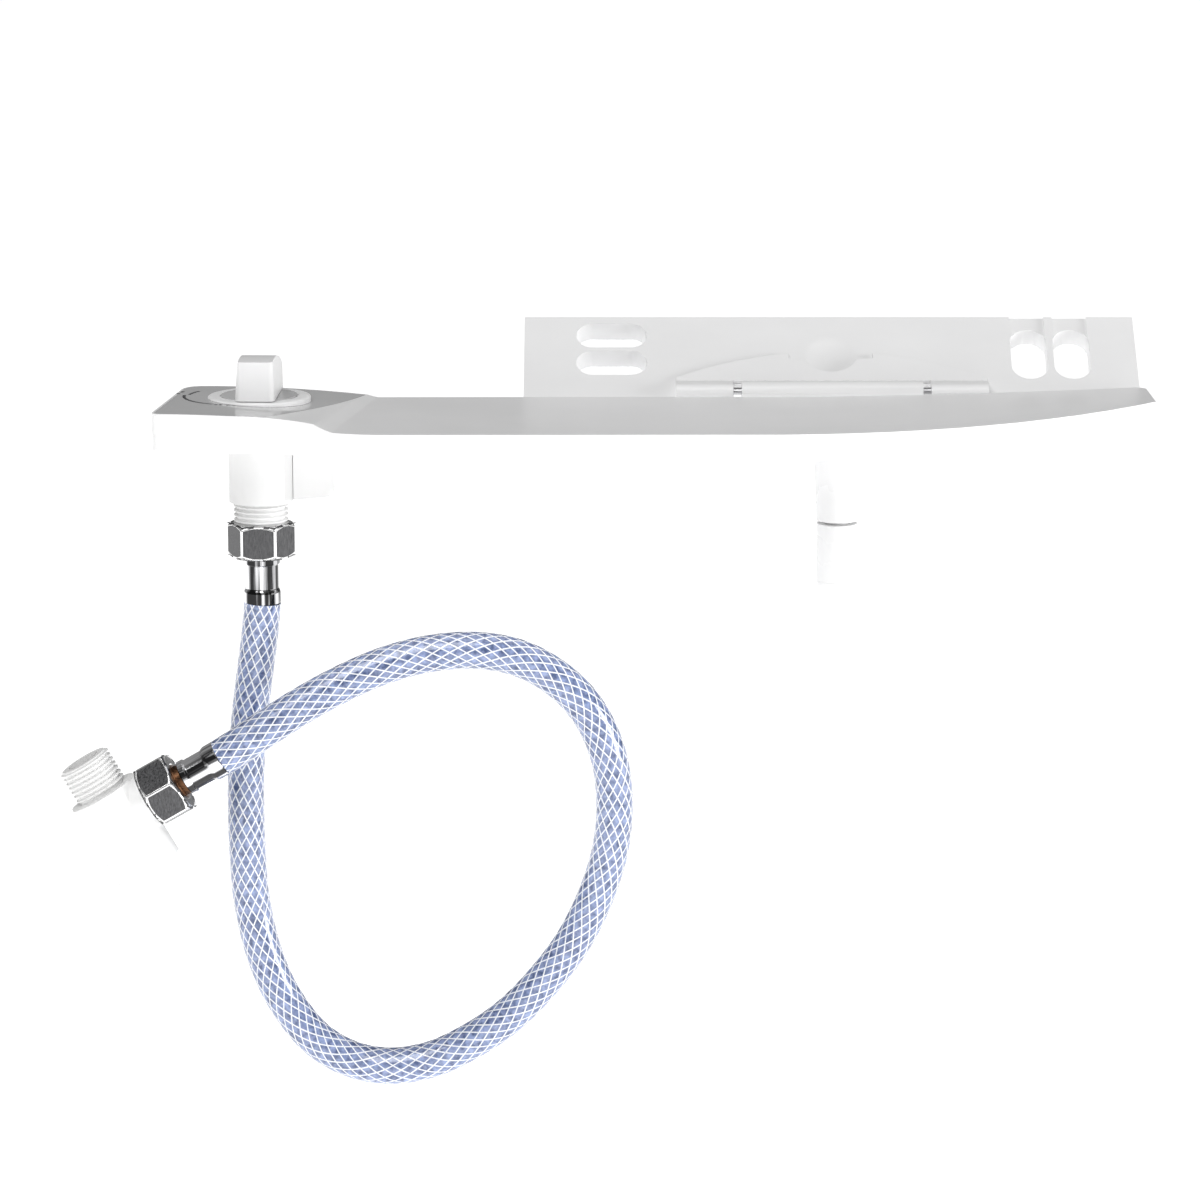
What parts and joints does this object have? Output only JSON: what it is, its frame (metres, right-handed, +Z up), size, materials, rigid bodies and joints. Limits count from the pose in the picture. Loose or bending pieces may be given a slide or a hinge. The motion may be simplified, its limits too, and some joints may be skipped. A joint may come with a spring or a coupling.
{
  "type": "bidet attachment",
  "caption": "Slim cold-water bidet attachment with a lever valve, telescopic nozzle, hinged slotted mounting plate, braided hose and T adapter.",
  "frame": {"origin": "underside of the middle rim pad, on the centreline of the nozzle and the mounting plate", "axes": "+Z up, +X along the arm towards its free end, +Y to the rear towards the mounting plate"},
  "size_m": [0.4216, 0.1331, 0.2922],
  "materials": {
    "shell_white": "satin-gloss moulded ABS",
    "panel_grey": "high-gloss grey inlay",
    "bezel_pale": "satin pale grey",
    "disc_grey": "gloss grey",
    "fitting_white": "moulded fitting plastic",
    "nozzle_white": "smooth moulded",
    "pad_rubber": "matt rubber",
    "seal_rubber": "matt rubber",
    "steel_screw": "plain stainless",
    "nut_steel": "brushed dark stainless",
    "ferrule_chrome": "polished crimped",
    "brass": "turned brass",
    "ceramic": "lapped ceramic",
    "tube_clear": "clear feed tube",
    "hose_braid": "clear blue PVC over white diamond braid"
  },
  "bodies": {
    "casing": {"base_shell": "shell_white", "top_shell": "shell_white", "panel_inlay": "panel_grey", "bezel_ring": "bezel_pale", "case_screws": "steel_screw", "rim_pads": "pad_rubber", "ceramic_disc_fixed": "ceramic", "disc_seat_washer": "seal_rubber", "valve_bonnet": "fitting_white", "valve_body": "fitting_white", "outlet_elbow": "fitting_white", "inlet_filter": "steel_screw", "feed_tube": "tube_clear", "tube_clamps": "steel_screw", "nozzle_guide": "nozzle_white", "guide_retainer": "steel_screw", "nozzle_spring": "steel_screw", "hinge_barrel": "shell_white", "hinge_pin": "steel_screw", "washer_upper": "seal_rubber", "hose_tail_upper": "brass", "ferrule_upper": "ferrule_chrome", "hose_tube": "hose_braid", "ferrule_lower": "ferrule_chrome", "hose_tail_lower": "brass", "washer_lower": "seal_rubber", "tee_body": "fitting_white", "tee_washer": "seal_rubber"},
    "knob": {"knob_lever": "shell_white", "lever_plug": "shell_white", "knob_disc": "disc_grey", "knob_screw": "steel_screw", "valve_stem": "brass", "stem_o_ring": "seal_rubber", "ceramic_disc_rotor": "ceramic"},
    "nozzle": {"nozzle_stem": "nozzle_white", "piston_seal": "seal_rubber", "nozzle_sleeve": "nozzle_white", "nozzle_tip": "nozzle_white"},
    "plate": {"mount_plate": "shell_white", "hinge_cover": "shell_white", "plate_screws": "steel_screw", "plate_pads": "pad_rubber"},
    "upper_nut": {"nut_upper": "nut_steel"},
    "lower_nut": {"nut_lower": "nut_steel"}
  },
  "joints": [
    {"name": "knob_turn", "type": "hinge", "parent": "casing", "child": "knob", "pos_m": [-0.2221, -0.0125, 0.016], "axis": [0, 0, 1], "range_deg": [-90, 0]},
    {"name": "nozzle_slide", "type": "slide", "parent": "casing", "child": "nozzle", "axis": [0, 0, -1], "range_m": [0, 0.016], "stiffness_N_per_m": 40, "springref_m": -0.01, "deforming": ["nozzle_spring"]},
    {"name": "plate_hinge", "type": "hinge", "parent": "casing", "child": "plate", "pos_m": [0, 0.0199, 0.0122], "axis": [1, 0, 0], "range_deg": [-36, 0]},
    {"name": "upper_nut_turn", "type": "hinge", "parent": "casing", "child": "upper_nut", "pos_m": [-0.2221, -0.0125, -0.0468], "axis": [0, 0, 1], "continuous": true},
    {"name": "lower_nut_turn", "type": "hinge", "parent": "casing", "child": "lower_nut", "pos_m": [-0.25281, -0.0425, -0.1293], "axis": [-0.866, 0, -0.5], "continuous": true}
  ]
}
